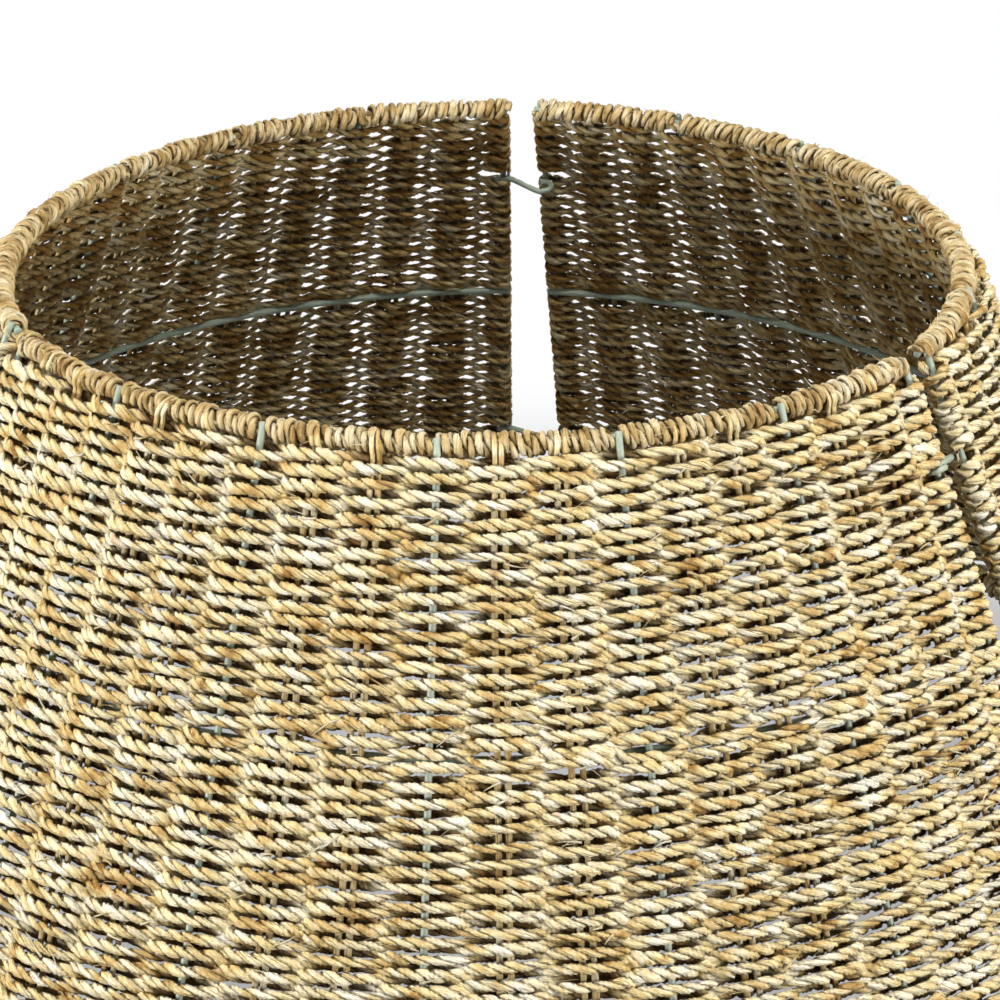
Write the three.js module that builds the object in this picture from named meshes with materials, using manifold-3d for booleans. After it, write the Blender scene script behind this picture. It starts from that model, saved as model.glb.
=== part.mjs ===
// Tree collar: three alike conical panels of woven seagrass on welded wire frames.
// Each panel hooks onto its neighbour's edge stake, so the ring opens like a set of doors.
// Millimetres, +Z up, floor at Z = 0, the front panel faces -Y.
import * as THREE from "three";
import { mergeVertices } from "three/addons/utils/BufferGeometryUtils.js";
import Module from "manifold-3d";

const wasm = await Module();
wasm.setup();

// Overall sizes
const COLLAR_HEIGHT = 300; // floor to the top of the rim binding
const RIM_ARC_RADIUS = 262; // panel arc at the rim hoop, to the stake axes
const PANEL_HALF_ANGLE = THREE.MathUtils.degToRad(55.5); // panel middle to its edge stake
const FLARE = 0.42; // radius gained per millimetre of drop
const JOINT_GAP = 22; // between neighbouring edge stakes at the rim hoop
const FIT_GAP = 0.3; // between pieces that touch

// Wire frame
const STAKE_COUNT = 7;
const STAKE_DIAMETER = 3.5;
const STAKE_RISE = 4.5; // stake end above the rim hoop's centre
const STAKE_DROP = 3.5; // stake end below the base hoop's centre
const HOOP_DIAMETER = 4;
const HOOP_OVERRUN = 3; // hoop end past the edge stake's axis
const MID_HOOP_DROP = 134; // below the rim hoop

// Hooks on each panel's left edge
const HOOK_DIAMETER = 3.4;
const HOOK_CLEARANCE = 0.5; // between the curl and the stake that it goes round
const HOOK_LAP = 5; // shank past the stake that it is welded to
const HOOK_TIP = 2.5; // straight end after the curl
const UPPER_HOOK_DROP = 48; // below the rim hoop
const LOWER_HOOK_RISE = 45; // above the base hoop
const OPEN_HOOK_CLEARANCE = 3; // unhooked curl to the stake at the back joint

// Woven seagrass
const WEAVE_THICKNESS = 14; // measured level
const NOTCH_RADIUS = 9.5; // weave left open round an edge stake at a hook
const NOTCH_HEIGHT = 6.4;
const BINDING_DIAMETER = 12.5; // base hoop with its binding
const BINDING_OVERRUN = 5; // past the edge stake's axis
const STRAND_WIDTH = 4.4; // strand wound round the rim hoop
const STRAND_THICKNESS = 3.6;
const STRAND_TURNS = 4; // turns between two stakes
const STRAND_STRAIGHT = 5; // strand along the hoop at each end of the winding

// Fineness of the faceted surfaces
const ARC_STEPS = 2 * (STAKE_COUNT - 1); // a corner at each stake and midway between two
const EDGE_STEPS = 6;
const WIRE_SIDES = 6;
const STAKE_SIDES = 8;
const BINDING_SIDES = 8;
const STRAND_SIDES = 5;
const STRAND_STEPS = 8;
const HOOK_STEPS = 18;

// Worked out from the sizes above
const PANEL_TURN = (2 * Math.PI) / 3;
const STAKE_PITCH = (2 * PANEL_HALF_ANGLE) / (STAKE_COUNT - 1);
const LEAN = Math.atan(FLARE);
const HOOP_INSET = (STAKE_DIAMETER / 2 + HOOP_DIAMETER / 2 + FIT_GAP) / Math.cos(LEAN);
const STRAND_RADIUS =
  (HOOP_DIAMETER / 2 + FIT_GAP + STRAND_THICKNESS / 2) / Math.cos(Math.PI / STRAND_STEPS);
const RIM_WRAP_RADIUS = STRAND_RADIUS + STRAND_THICKNESS / 2;
const RIM_Z = COLLAR_HEIGHT - RIM_WRAP_RADIUS;
const BASE_Z = BINDING_DIAMETER / 2;
const MID_Z = RIM_Z - MID_HOOP_DROP;
const HOOK_HEIGHTS = { upper: RIM_Z - UPPER_HOOK_DROP, lower: BASE_Z + LOWER_HOOK_RISE };
const WEAVE_TOP = RIM_Z - RIM_WRAP_RADIUS - FIT_GAP;
const WEAVE_BOTTOM = BINDING_DIAMETER + FIT_GAP;

// Distance of a panel's own cone axis from the collar's axis, along the panel's middle.
// It leaves JOINT_GAP between the edge stakes of two panels that stand a third of a turn apart.
const HALF_CHORD = RIM_ARC_RADIUS * Math.sin(PANEL_HALF_ANGLE);
const EDGE_REACH =
  (JOINT_GAP / 2 + HALF_CHORD * Math.cos(PANEL_TURN / 2)) / Math.sin(PANEL_TURN / 2);
const PANEL_SHIFT = EDGE_REACH - RIM_ARC_RADIUS * Math.cos(PANEL_HALF_ANGLE);

const wirePaint = new THREE.MeshStandardMaterial({
  color: 0x93aba2,
  roughness: 0.45,
  metalness: 0.2,
});
const seagrass = new THREE.MeshStandardMaterial({ color: 0xcfb07a, roughness: 0.85, metalness: 0 });

// Radius of the stake axes at a height.
function stakeRadius(z) {
  return RIM_ARC_RADIUS + FLARE * (RIM_Z - z);
}

// Point at a radius and height; angles run from the panel's middle, to the right seen from outside.
function polar(radius, angle, z) {
  return new THREE.Vector3(radius * Math.sin(angle), -radius * Math.cos(angle), z);
}

// Level arc round the panel's own axis from edge to edge, with a run past each edge stake.
// Its steps have the same angles at every radius, so that faceted arcs nest.
class LevelArc extends THREE.Curve {
  constructor(radius, overrun, z) {
    super();
    this.radius = radius;
    this.overrun = overrun / radius;
    this.z = z;
  }

  getUtoTmapping(u) {
    return u;
  }

  getPoint(t) {
    const step = t * (ARC_STEPS + 2) - 1;
    const past = Math.min(step, 0) + Math.max(step - ARC_STEPS, 0);
    const share = (2 * THREE.MathUtils.clamp(step, 0, ARC_STEPS)) / ARC_STEPS - 1;
    return polar(this.radius, share * PANEL_HALF_ANGLE + past * this.overrun, this.z);
  }
}

// Regular polygon from its corner radius, with flat sides across X.
function polygon(corner, sides) {
  const points = [];
  for (let i = 0; i < sides; i++) {
    const a = ((2 * i + 1) * Math.PI) / sides;
    points.push(new THREE.Vector2(corner * Math.cos(a), corner * Math.sin(a)));
  }
  return new THREE.Shape(points);
}

// Distance of a faceted arc from its axis at an angle between the edge stakes.
function facetRadius(radius, angle) {
  const half = PANEL_HALF_ANGLE / ARC_STEPS;
  const off = THREE.MathUtils.euclideanModulo(angle + PANEL_HALF_ANGLE, 2 * half) - half;
  return (radius * Math.cos(half)) / Math.cos(off);
}

function sweep(shape, curve, steps) {
  return new THREE.ExtrudeGeometry(shape, { steps, extrudePath: curve });
}

// Hoop or binding: a section carried round the panel inside its stakes at one height.
// The section's X runs along the height and its Y points to the inside.
function hoopArc(shape, z, overrun) {
  return sweep(shape, new LevelArc(stakeRadius(z) - HOOP_INSET, overrun, z), ARC_STEPS + 2);
}

// Sets an object whose own Z is its length on the cone, leaning with the stakes.
function seatOnCone(object, angle, z) {
  object.position.copy(polar(stakeRadius(z), angle, z));
  object.rotation.set(-LEAN, 0, angle, "ZYX");
}

// Rod along its own Z.
function rod(diameter, length) {
  return new THREE.CylinderGeometry(diameter / 2, diameter / 2, length, STAKE_SIDES).rotateX(
    Math.PI / 2,
  );
}

// Cutting rod that follows a stake between two heights.
function coneCutter(diameter, angle, low, high) {
  const holder = new THREE.Object3D();
  seatOnCone(holder, angle, (low + high) / 2);
  holder.updateMatrix();
  return rod(diameter, (high - low) / Math.cos(LEAN)).applyMatrix4(holder.matrix);
}

function solidOf(geometry) {
  const bare = geometry.index ? geometry.toNonIndexed() : geometry.clone();
  bare.deleteAttribute("normal");
  bare.deleteAttribute("uv");
  const merged = mergeVertices(bare, 1e-4);
  return new wasm.Manifold(
    new wasm.Mesh({
      numProp: 3,
      vertProperties: new Float32Array(merged.attributes.position.array),
      triVerts: new Uint32Array(merged.index.array),
    }),
  );
}

function geometryOf(solid) {
  const mesh = solid.getMesh();
  const geometry = new THREE.BufferGeometry();
  geometry.setAttribute("position", new THREE.BufferAttribute(mesh.vertProperties, 3));
  geometry.setIndex(new THREE.BufferAttribute(mesh.triVerts, 1));
  geometry.computeVertexNormals();
  return geometry;
}

function cut(geometry, cutters) {
  let solid = solidOf(geometry);
  for (const cutter of cutters) solid = solid.subtract(solidOf(cutter));
  return geometryOf(solid);
}

function stakeAngle(index) {
  return index * STAKE_PITCH - PANEL_HALF_ANGLE;
}

function stakeCutters(low, high) {
  const cutters = [];
  for (let i = 0; i < STAKE_COUNT; i++) {
    cutters.push(coneCutter(STAKE_DIAMETER + 2 * FIT_GAP, stakeAngle(i), low, high));
  }
  return cutters;
}

// Conical sheet of weave, round at both edges where the cord turns about the edge stakes.
function weaveSheet() {
  const half = WEAVE_THICKNESS / 2;
  const outline = [];
  for (const side of [1, -1]) {
    for (let i = 0; i <= ARC_STEPS; i++) {
      const angle = side * PANEL_HALF_ANGLE * ((2 * i) / ARC_STEPS - 1);
      outline.push(polar(RIM_ARC_RADIUS + side * half, angle, 0));
    }
    const edge = polar(RIM_ARC_RADIUS, side * PANEL_HALF_ANGLE, 0);
    for (let i = 1; i < EDGE_STEPS; i++) {
      const round = side * PANEL_HALF_ANGLE + (1 - side) * (Math.PI / 2) + (Math.PI * i) / EDGE_STEPS;
      outline.push(polar(half, round, 0).add(edge));
    }
  }
  const sheet = new THREE.ExtrudeGeometry(
    new THREE.Shape(outline.map((p) => new THREE.Vector2(p.x, p.y))),
    { depth: WEAVE_TOP - WEAVE_BOTTOM, bevelEnabled: false },
  ).translate(0, 0, WEAVE_BOTTOM);
  const places = sheet.attributes.position;
  const point = new THREE.Vector3();
  for (let i = 0; i < places.count; i++) {
    point.fromBufferAttribute(places, i);
    const angle = Math.atan2(point.x, -point.y);
    const kept = THREE.MathUtils.clamp(angle, -PANEL_HALF_ANGLE, PANEL_HALF_ANGLE);
    point.add(polar(FLARE * (RIM_Z - point.z), kept, 0));
    places.setXYZ(i, point.x, point.y, point.z);
  }
  return sheet;
}

// Weave bored for the stakes, grooved inside for the mid hoop and open at the hooks.
function weave() {
  const grooveHeight = HOOP_DIAMETER + 2 * FIT_GAP;
  const groove = new THREE.Shape();
  groove.moveTo(-grooveHeight / 2, -grooveHeight / 2);
  groove.lineTo(grooveHeight / 2, -grooveHeight / 2);
  groove.lineTo(grooveHeight / 2, WEAVE_THICKNESS);
  groove.lineTo(-grooveHeight / 2, WEAVE_THICKNESS);
  const cutters = stakeCutters(WEAVE_BOTTOM - WEAVE_THICKNESS, WEAVE_TOP + WEAVE_THICKNESS);
  cutters.push(hoopArc(groove, MID_Z, WEAVE_THICKNESS));
  for (const height of Object.values(HOOK_HEIGHTS)) {
    for (const side of [-1, 1]) {
      const low = height - NOTCH_HEIGHT / 2;
      cutters.push(coneCutter(2 * NOTCH_RADIUS, side * PANEL_HALF_ANGLE, low, low + NOTCH_HEIGHT));
    }
  }
  return cut(weaveSheet(), cutters);
}

// Binding of the base hoop: a bar with a flat underside, bored for the hoop and slotted for the stakes.
function baseBinding() {
  const corner = BINDING_DIAMETER / 2 / Math.cos(Math.PI / BINDING_SIDES);
  const bar = hoopArc(polygon(corner, BINDING_SIDES), BASE_Z, BINDING_OVERRUN);
  const bore = polygon(HOOP_DIAMETER / 2 + FIT_GAP, WIRE_SIDES);
  const cutters = stakeCutters(-BINDING_DIAMETER, 2 * BINDING_DIAMETER);
  cutters.push(hoopArc(bore, BASE_Z, 2 * BINDING_OVERRUN));
  return cut(bar, cutters);
}

// Strand wound round the rim hoop. The angle about the hoop grows evenly between two stakes and
// is at the inner side where a stake crosses, so that every stake stands between two turns.
function rimWinding() {
  const hoopRadius = stakeRadius(RIM_Z) - HOOP_INSET;
  const interval = hoopRadius * STAKE_PITCH;
  const halfLength = hoopRadius * PANEL_HALF_ANGLE;
  const path = [];
  const turnAt = (along, turn) => {
    const swing = Math.PI + 2 * Math.PI * turn;
    const angle = along / hoopRadius;
    const radius = facetRadius(hoopRadius, angle) + STRAND_RADIUS * Math.cos(swing);
    return polar(radius, angle, RIM_Z + STRAND_RADIUS * Math.sin(swing));
  };
  path.push(turnAt(-halfLength, 0));
  for (let i = 0; i < STAKE_COUNT - 1; i++) {
    const start = i * interval - halfLength + (i === 0 ? STRAND_STRAIGHT : 0);
    const end = (i + 1) * interval - halfLength - (i === STAKE_COUNT - 2 ? STRAND_STRAIGHT : 0);
    const steps = STRAND_TURNS * STRAND_STEPS;
    for (let k = i === 0 ? 0 : 1; k <= steps; k++) {
      path.push(turnAt(start + ((end - start) * k) / steps, k / STRAND_STEPS));
    }
  }
  path.push(turnAt(halfLength, 0));
  return path;
}

// Least distance between parts of the winding that lie more than half a turn apart, less its width.
function leastGap(path) {
  let least = Infinity;
  for (let i = 0; i < path.length; i++) {
    for (let k = i + STRAND_STEPS / 2 + 1; k < path.length; k++) {
      least = Math.min(least, path[i].distanceTo(path[k]));
    }
  }
  return least - STRAND_WIDTH;
}

// Flat oval section carried along the winding, its thin way pointing at the hoop.
function windingTube(path) {
  const hoopRadius = stakeRadius(RIM_Z) - HOOP_INSET;
  const vertices = [];
  const faces = [];
  path.forEach((point, i) => {
    const before = path[Math.max(i - 1, 0)];
    const after = path[Math.min(i + 1, path.length - 1)];
    const along = after.clone().sub(before).normalize();
    const angle = Math.atan2(point.x, -point.y);
    const hoopPoint = polar(facetRadius(hoopRadius, angle), angle, RIM_Z);
    const outward = point.clone().sub(hoopPoint);
    outward.addScaledVector(along, -outward.dot(along)).normalize();
    const across = along.clone().cross(outward);
    for (let k = 0; k < STRAND_SIDES; k++) {
      const a = (2 * Math.PI * k) / STRAND_SIDES;
      const corner = point.clone();
      corner.addScaledVector(outward, (Math.cos(a) * STRAND_THICKNESS) / 2);
      corner.addScaledVector(across, (Math.sin(a) * STRAND_WIDTH) / 2);
      vertices.push(corner.x, corner.y, corner.z);
    }
  });
  const last = (path.length - 1) * STRAND_SIDES;
  for (let ring = 0; ring < last; ring += STRAND_SIDES) {
    for (let k = 0; k < STRAND_SIDES; k++) {
      const next = (k + 1) % STRAND_SIDES;
      faces.push(ring + k, ring + next, ring + STRAND_SIDES + next);
      faces.push(ring + k, ring + STRAND_SIDES + next, ring + STRAND_SIDES + k);
    }
  }
  for (let k = 1; k < STRAND_SIDES - 1; k++) {
    faces.push(0, k + 1, k);
    faces.push(last, last + k, last + k + 1);
  }
  const tube = new THREE.BufferGeometry();
  tube.setAttribute("position", new THREE.Float32BufferAttribute(vertices, 3));
  tube.setIndex(faces);
  tube.computeVertexNormals();
  return tube;
}

// Right edge stake of the panel on the left, in this panel's own frame.
function neighbourStake(z) {
  const shift = new THREE.Vector3(0, PANEL_SHIFT, 0);
  const point = polar(stakeRadius(z), PANEL_HALF_ANGLE, z).sub(shift);
  return point.applyAxisAngle(new THREE.Vector3(0, 0, 1), -PANEL_TURN).add(shift);
}

// Hook: a shank welded across the inside of this panel's left edge stake that curls half round the
// neighbour's edge stake. An inward offset stands the curl clear of that stake, unhooked.
function hook(height, inward) {
  const centre = neighbourStake(height);
  const up = neighbourStake(height + 1).sub(centre).normalize();
  const foot = polar(stakeRadius(height), -PANEL_HALF_ANGLE, height);
  const rise = polar(stakeRadius(height + 1), -PANEL_HALF_ANGLE, height + 1).sub(foot);
  const level = centre.clone().sub(foot).dot(up) / rise.dot(up);
  const own = foot.addScaledVector(rise, level);
  const across = own.clone().sub(centre);
  const reach = across.length();
  across.normalize();
  const inside = up.clone().cross(across);
  const curl = STAKE_DIAMETER / 2 + HOOK_CLEARANCE + HOOK_DIAMETER / 2;
  const lap = STAKE_DIAMETER / 2 + FIT_GAP + HOOK_DIAMETER / 2;
  const at = (x, y) => centre.clone().addScaledVector(across, x).addScaledVector(inside, y);
  const points = [at(reach + HOOK_LAP, lap), at(reach, lap), at(reach - HOOK_LAP, lap)];
  points.push(at(curl, inward + curl));
  for (let i = 0; i <= EDGE_STEPS; i++) {
    const a = Math.PI / 2 + (Math.PI * i) / EDGE_STEPS;
    points.push(at(curl * Math.cos(a), inward + curl * Math.sin(a)));
  }
  points.push(at(HOOK_TIP, inward - curl));
  return sweep(polygon(HOOK_DIAMETER / 2, WIRE_SIDES), new THREE.CatmullRomCurve3(points), HOOK_STEPS);
}

function addMesh(group, name, geometry, material) {
  const mesh = new THREE.Mesh(geometry, material);
  mesh.name = name;
  group.add(mesh);
  return mesh;
}

const winding = rimWinding();
console.log("rim winding, least gap to itself: " + leastGap(winding).toFixed(2) + " mm");

// One panel: three hoops inside seven stakes, the weave, its two bindings and two hooks.
function panel(name, hookOffset) {
  const group = new THREE.Group();
  const wire = polygon(HOOP_DIAMETER / 2, WIRE_SIDES);
  addMesh(group, name + "_rim_hoop", hoopArc(wire, RIM_Z, HOOP_OVERRUN), wirePaint);
  addMesh(group, name + "_mid_hoop", hoopArc(wire, MID_Z, HOOP_OVERRUN), wirePaint);
  addMesh(group, name + "_base_hoop", hoopArc(wire, BASE_Z, HOOP_OVERRUN), wirePaint);
  const low = BASE_Z - STAKE_DROP;
  const high = RIM_Z + STAKE_RISE;
  for (let i = 0; i < STAKE_COUNT; i++) {
    const length = (high - low) / Math.cos(LEAN);
    const stake = addMesh(group, name + "_stake_" + (i + 1), rod(STAKE_DIAMETER, length), wirePaint);
    seatOnCone(stake, stakeAngle(i), (low + high) / 2);
  }
  addMesh(group, name + "_weave", weave(), seagrass);
  addMesh(group, name + "_rim_wrap", windingTube(winding), seagrass);
  addMesh(group, name + "_base_wrap", baseBinding(), seagrass);
  for (const [place, height] of Object.entries(HOOK_HEIGHTS)) {
    addMesh(group, name + "_hook_" + place, hook(height, hookOffset), wirePaint);
  }
  group.position.y = -PANEL_SHIFT;
  return group;
}

// The left panel's hooks meet the right panel's edge at the back, where the ring is unhooked.
const UNHOOKED =
  STAKE_DIAMETER + HOOK_CLEARANCE + HOOK_DIAMETER + OPEN_HOOK_CLEARANCE;
const ring = new THREE.Group();
for (const [name, turn, hookOffset] of [
  ["front", 0, 0],
  ["right", PANEL_TURN, 0],
  ["left", -PANEL_TURN, UNHOOKED],
]) {
  const place = new THREE.Group();
  place.rotation.z = turn;
  place.add(panel(name, hookOffset));
  ring.add(place);
}

// The origin is on the floor, midway between the front and the back of the ring.
const extent = new THREE.Box3().setFromObject(ring, true);
ring.position.y = -(extent.min.y + extent.max.y) / 2;

const collar = new THREE.Group();
collar.add(ring);

export default collar;
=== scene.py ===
import math
import bpy
import numpy as np
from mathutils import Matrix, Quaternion


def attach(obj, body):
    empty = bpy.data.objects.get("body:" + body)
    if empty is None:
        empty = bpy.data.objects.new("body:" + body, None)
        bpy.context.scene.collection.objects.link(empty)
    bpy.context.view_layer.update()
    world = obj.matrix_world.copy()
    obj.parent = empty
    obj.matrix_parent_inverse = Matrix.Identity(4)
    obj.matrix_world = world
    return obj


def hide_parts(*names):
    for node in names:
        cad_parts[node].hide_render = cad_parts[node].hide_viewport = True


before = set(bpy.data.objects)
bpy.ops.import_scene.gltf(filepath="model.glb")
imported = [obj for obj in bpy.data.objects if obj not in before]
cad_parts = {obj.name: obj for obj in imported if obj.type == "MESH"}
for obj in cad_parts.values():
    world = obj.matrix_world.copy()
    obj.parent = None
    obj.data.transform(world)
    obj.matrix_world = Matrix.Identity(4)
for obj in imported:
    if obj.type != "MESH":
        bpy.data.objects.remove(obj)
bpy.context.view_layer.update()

# Wire frame of each panel: three level hoops inside seven leaning stakes, stakes 1 and 7 its edges.
# Drawn steel wire, spot welded where stake and hoop touch, then painted grey-green.
# Sizes are in millimetres, in a panel's own place: its cone axis at the origin, its middle at -Y.
MM = 0.001
COLLAR_HEIGHT = 300.0
RIM_BINDING_RADIUS = 6.238
MID_HOOP_DROP = 134.0
RIM_Z = COLLAR_HEIGHT - RIM_BINDING_RADIUS
MID_Z = RIM_Z - MID_HOOP_DROP
BASE_Z = 6.25
RIM_RADIUS = 262.0
FLARE = 0.42
LEAN = math.atan(FLARE)
HALF_ANGLE = math.radians(55.5)
STAKES = 7
STAKE_DIAMETER = 3.5
STAKE_RISE = 4.5
STAKE_DROP = 3.5
STAKE_RINGS = 41
HOOP_DIAMETER = 4.0
HOOP_OVERRUN = 3.0
HOOP_RINGS = 121
WELD_GAP = 0.3
HOOP_INSET = (STAKE_DIAMETER / 2 + WELD_GAP + HOOP_DIAMETER / 2) / math.cos(LEAN)
WIRE_SIDES = 12
TIP_LENGTH = 0.45
TIP_RADIUS_SHARE = 0.72
PANEL_TURN = 2 * math.pi / 3
PANEL_TURNS = {"front": 0.0, "right": PANEL_TURN, "left": -PANEL_TURN}
JOINT_GAP = 22.0
EDGE_TO_JOINT = RIM_RADIUS * math.sin(PANEL_TURN / 2 - HALF_ANGLE)
CONE_AXIS_SET = (EDGE_TO_JOINT - JOINT_GAP / 2) / math.sin(PANEL_TURN / 2)
COLLAR_AXIS_Y = -2.162


def stake_radius(z):
    """Radius of the stake axes: the rim's, and the flare's share of the drop below the rim hoop."""
    return RIM_RADIUS + FLARE * (RIM_Z - z)


def hoop_radius(z):
    """Radius of a hoop at a height, inside the stakes that are welded to it."""
    return stake_radius(z) - HOOP_INSET


def sheet_axes(angle):
    """Directions on the cone at an angle: out along its normal, round it to the right, and up its
    slope."""
    sin, cos, one = np.sin(angle), np.cos(angle), np.ones_like(angle)
    out = np.stack([math.cos(LEAN) * sin, -math.cos(LEAN) * cos, math.sin(LEAN) * one], -1)
    right = np.stack([cos, sin, 0 * one], -1)
    up = np.stack([-math.sin(LEAN) * sin, math.sin(LEAN) * cos, math.cos(LEAN) * one], -1)
    return out, right, up


def level_point(radius, angle, z):
    """Point at a radius and height, its angle counted from the panel's middle."""
    return np.stack(np.broadcast_arrays(radius * np.sin(angle), -radius * np.cos(angle), z), -1)


def turn_level(points, turn):
    """Points turned about the upright axis."""
    sin, cos = math.sin(turn), math.cos(turn)
    x, y, z = points[..., 0], points[..., 1], points[..., 2]
    return np.stack([x * cos - y * sin, x * sin + y * cos, z], -1)


def stand_panel(points, turn):
    """Panel's points in the collar: the cone axis set back, then a turn about the collar's axis."""
    return turn_level(points + [0, CONE_AXIS_SET, 0], turn) + [0, COLLAR_AXIS_Y, 0]


def unit(vectors):
    """Vectors brought to a length of one."""
    return vectors / np.linalg.norm(vectors, axis=-1, keepdims=True)


def sweep(path, lead, section):
    """Profile carried along paths: each ring is the path's point, plus the section's first part
    along the lead direction, squared to the path, and its second part across both."""
    along = unit(np.gradient(path, axis=-2))
    lead = unit(lead - along * np.sum(lead * along, -1, keepdims=True))
    across = np.cross(along, lead)
    return (path[..., None, :] + section[..., 0, None] * lead[..., None, :]
            + section[..., 1, None] * across[..., None, :])


def round_section(radius, sides):
    """Circle of a given radius at each ring."""
    turn = np.arange(sides) * 2 * math.pi / sides
    return np.asarray(radius)[..., None, None] * np.stack([np.cos(turn), np.sin(turn)], -1)


def path_length(path):
    """Distance along each path from its start to every point."""
    steps = np.linalg.norm(np.diff(path, axis=-2), axis=-1)
    return np.concatenate([np.zeros_like(steps[..., :1]), np.cumsum(steps, -1)], -1)


STRIP_END = 0.002
STRIP_EDGE = 0.08


def within(share, margin):
    """Share of a strip's length or width, kept off both ends by a margin."""
    return margin + (1 - 2 * margin) * share


def pairs(u, v):
    """List of pairs from two arrays that are spread to one shape."""
    return np.stack(np.broadcast_arrays(u, v), -1).reshape(-1, 2)


def strand_maps(skin, roll, folds):
    """UV maps of all corners, of the quads and then of the ends. One lays every strand, cut into
    folds, as strips of their own. The other runs along the strand in metres and round it in turns,
    with the roll of its fibres."""
    strands, rings, sides = skin.shape[:3]
    ring_step, side_step = np.array([0, 0, 1, 1]), np.array([0, 1, 1, 0])
    first = np.arange(rings - 1)
    ring = first[:, None] + ring_step
    length = max(1, math.ceil((rings - 1) / folds))
    strip = np.arange(strands)[:, None] * folds + first // length
    share = (first[:, None] % length + ring_step) / length
    around = np.arange(sides) / sides
    corner = around[:, None] + side_step / sides
    level = (strip[..., None, None] + within(corner, STRIP_EDGE)) / (strands * folds)
    along = path_length(skin.mean(2)) * MM
    rolled = corner if roll is None else corner + roll[:, ring][:, :, None]
    end_place = np.repeat([STRIP_END, 1 - STRIP_END], strands)[:, None]
    end_strip = np.concatenate([strip[:, 0], strip[:, -1]])[:, None]
    end_level = (end_strip + within(around, STRIP_EDGE)) / (strands * folds)
    end_along = np.concatenate([along[:, 0], along[:, -1]])[:, None]
    layout = [pairs(within(share, STRIP_END)[None, :, None], level), pairs(end_place, end_level)]
    flow = [pairs(along[:, ring][:, :, None], rolled), pairs(end_along, around)]
    return {"OFBake": np.concatenate(layout), "strand": np.concatenate(flow)}


def strand_mesh(name, skin, turn, marks=None, roll=None, folds=1):
    """Object of closed tubes from an array of strand, ring and side: quads join the rings, and a
    polygon closes each end. Marks are values for its material, given by ring or by corner."""
    strands, rings, sides = skin.shape[:3]
    index = np.arange(strands * rings * sides).reshape(strands, rings, sides)
    beside = np.roll(index, -1, 2)
    quads = np.stack([index[:, :-1], beside[:, :-1], beside[:, 1:], index[:, 1:]], -1)
    caps = np.concatenate([index[:, 0, ::-1], index[:, -1]])
    corners = np.concatenate([quads.ravel(), caps.ravel()])
    starts = np.concatenate([np.arange(0, quads.size, 4),
                             np.arange(quads.size, corners.size, sides)])
    mesh = bpy.data.meshes.new(name)
    mesh.vertices.add(index.size)
    mesh.vertices.foreach_set("co", (stand_panel(skin, turn) * MM).astype(np.float32).ravel())
    mesh.loops.add(corners.size)
    mesh.loops.foreach_set("vertex_index", corners.astype(np.int32))
    mesh.polygons.add(starts.size)
    mesh.polygons.foreach_set("loop_start", starts.astype(np.int32))
    for title, places in strand_maps(skin, roll, folds).items():
        data = mesh.uv_layers.new(name=title).data
        data.foreach_set("uv", places.astype(np.float32).ravel())
    for title, values in (marks or {}).items():
        spread = values if values.ndim == 3 else np.repeat(values[..., None], sides, -1)
        data = mesh.attributes.new(title, "FLOAT", "POINT").data
        data.foreach_set("value", spread.astype(np.float32).ravel())
    mesh.update(calc_edges=True)
    mesh.validate()
    mesh.shade_smooth()
    piece = bpy.data.objects.new(name, mesh)
    bpy.context.scene.collection.objects.link(piece)
    return piece


def fix_to_panel(piece, panel, finish, node=None):
    """Gives a piece its finish and fixes it to its panel in place of a node, if any."""
    piece.data.materials.append(finish)
    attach(piece, panel + "_panel")
    if node:
        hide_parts(node)


def colour(code):
    """Linear colour of an sRGB hex value."""
    parts = np.array([int(code[i:i + 2], 16) for i in (1, 3, 5)]) / 255
    linear = np.where(parts <= 0.04045, parts / 12.92, ((parts + 0.055) / 1.055) ** 2.4)
    return (*linear.tolist(), 1.0)


def add_node(tree, kind, settings=None, inputs=None, stops=()):
    """Node of a kind with its settings and a ramp's colour stops; an input is a value, or another
    node's output to link."""
    node = tree.nodes.new(kind)
    for key, value in (settings or {}).items():
        setattr(node, key, value)
    for key, value in (inputs or {}).items():
        if isinstance(value, bpy.types.NodeSocket):
            tree.links.new(value, node.inputs[key])
        else:
            node.inputs[key].default_value = value
    for place, _ in stops[2:]:
        node.color_ramp.elements.new(place)
    for number, (place, code) in enumerate(stops):
        node.color_ramp.elements[number].position = place
        node.color_ramp.elements[number].color = colour(code)
    return node


def new_material(name):
    """Material with its node tree and its shader."""
    material = bpy.data.materials.new(name)
    material.use_nodes = True
    tree = material.node_tree
    return material, tree, tree.nodes["Principled BSDF"]


COAT_GREENS = ((0.28, "#7C8879"), (0.5, "#96A18E"), (0.75, "#A8B19F"))
COAT_PATCH = 22 * MM
COAT_DIMPLE = 1.1 * MM
COAT_RELIEF = 0.25 * MM


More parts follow.
